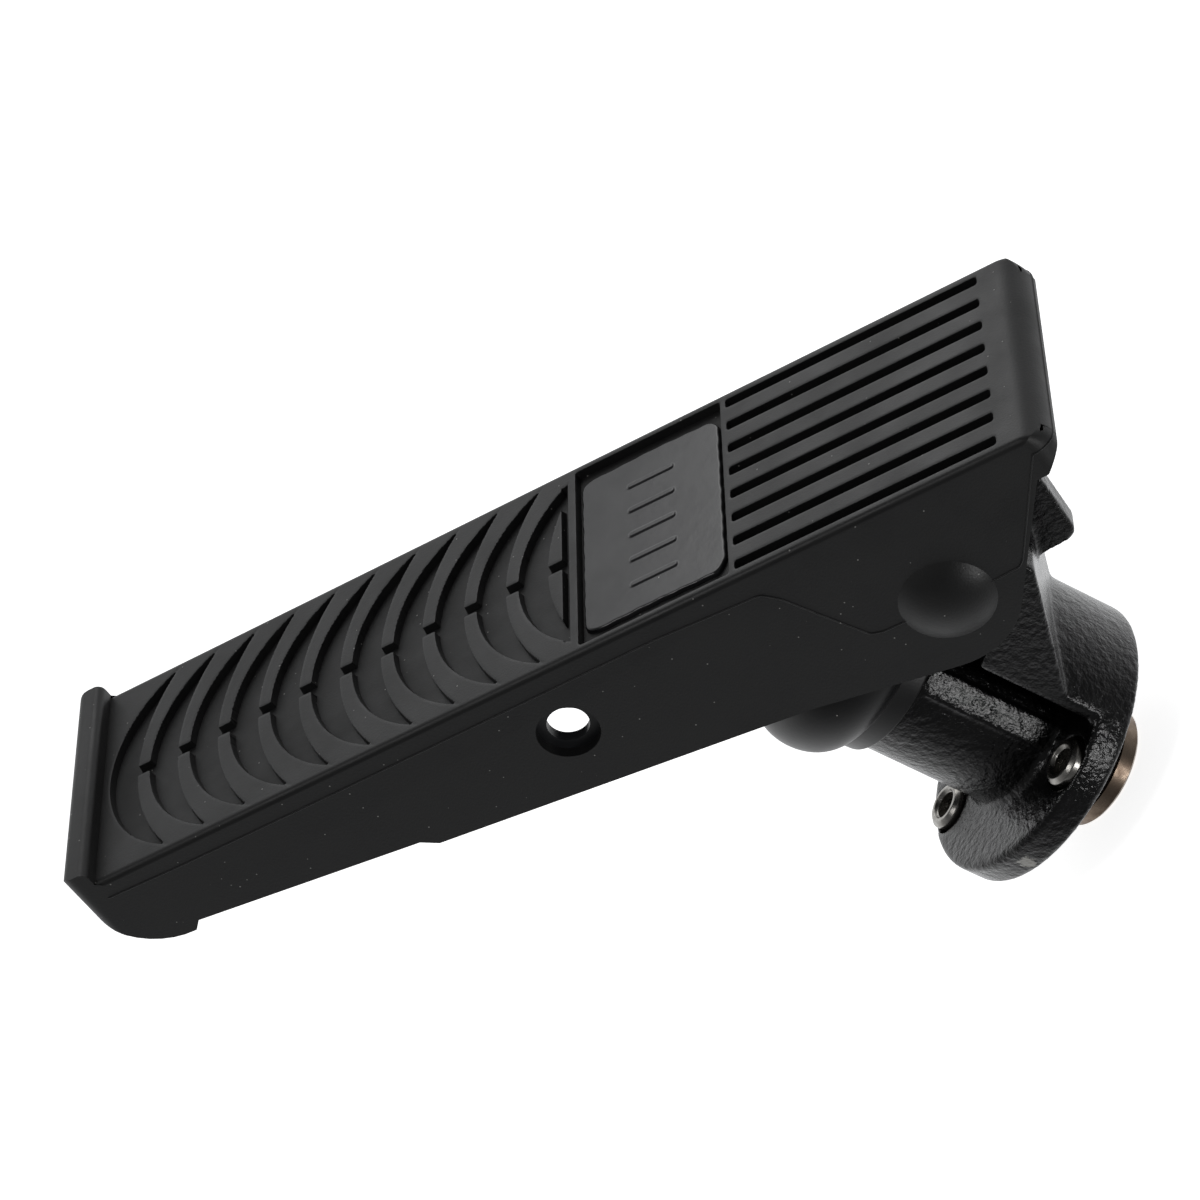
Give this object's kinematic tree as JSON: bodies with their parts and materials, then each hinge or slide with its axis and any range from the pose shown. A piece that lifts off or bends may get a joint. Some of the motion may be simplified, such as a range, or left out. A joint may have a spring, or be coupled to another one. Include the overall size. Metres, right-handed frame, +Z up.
{
  "type": "treadle foot pedal",
  "caption": "Long rubber-covered treadle pedal hinged on a round cast flange, pressing a spring-returned plunger in a rubber boot through a roller.",
  "frame": {"origin": "plunger axis where it meets the flange's mounting face", "axes": "+Z up along the plunger away from the mounting face, +X towards the pedal's toe end, +Y to the left of a foot pointing along +X"},
  "size_m": [0.2863, 0.0892, 0.2473],
  "materials": {
    "gloss_black_casting": "gloss black enamel over a sand casting",
    "pedal_rubber": "matt moulded rubber with light dust",
    "boot_rubber": "satin moulded rubber",
    "black_rubber": "matt",
    "gloss_black_plate": "gloss black",
    "dark_painted_steel": "satin black primer",
    "bright_steel": "turned and polished",
    "zinc_steel": "dull zinc plate",
    "spring_steel": "oiled and tempered",
    "sintered_bronze": "oiled sintered bronze",
    "oiled_brown_steel": "turned, oiled and lightly browned"
  },
  "bodies": {
    "bracket": {"cast_bracket": "gloss_black_casting", "guide_sleeve": "oiled_brown_steel", "sleeve_seal": "black_rubber", "lower_spring_seat": "zinc_steel", "seat_circlip": "spring_steel", "rod_wiper": "black_rubber", "return_spring": "spring_steel", "rubber_boot": "boot_rubber", "flange_screws": "bright_steel", "pivot_bushes": "sintered_bronze"},
    "pedal": {"pedal_frame": "dark_painted_steel", "rubber_cover": "pedal_rubber", "badge_plate": "gloss_black_plate", "pivot_pin": "bright_steel", "pin_circlips": "spring_steel", "pivot_spacers": "zinc_steel", "roller_bracket": "dark_painted_steel", "bracket_bolts": "zinc_steel", "bracket_nuts": "zinc_steel", "roller_pin": "bright_steel", "roller_pin_clips": "spring_steel", "rest_bumper": "black_rubber", "bumper_screw": "zinc_steel"},
    "roller": {"roller": "bright_steel"},
    "plunger": {"plunger_rod": "bright_steel", "wear_button": "bright_steel", "spring_collar": "zinc_steel", "collar_circlip": "spring_steel"}
  },
  "joints": [
    {"name": "pedal_hinge", "type": "hinge", "parent": "bracket", "child": "pedal", "pos_m": [-0.0555, 0, 0.078], "axis": [0, 1, 0], "range_deg": [0, 15]},
    {"name": "plunger_slide", "type": "slide", "parent": "bracket", "child": "plunger", "axis": [0, 0, -1], "range_m": [0, 0.0157], "stiffness_N_per_m": 4000, "springref_m": -0.012, "deforming": ["return_spring", "rubber_boot"]},
    {"name": "roller_spin", "type": "hinge", "parent": "pedal", "child": "roller", "pos_m": [0, 0, 0.11415], "axis": [0, 1, 0], "continuous": true}
  ],
  "couplings": [
    {"joint": "plunger_slide", "follows": "pedal_hinge", "m_per_rad": 0.0597}
  ]
}
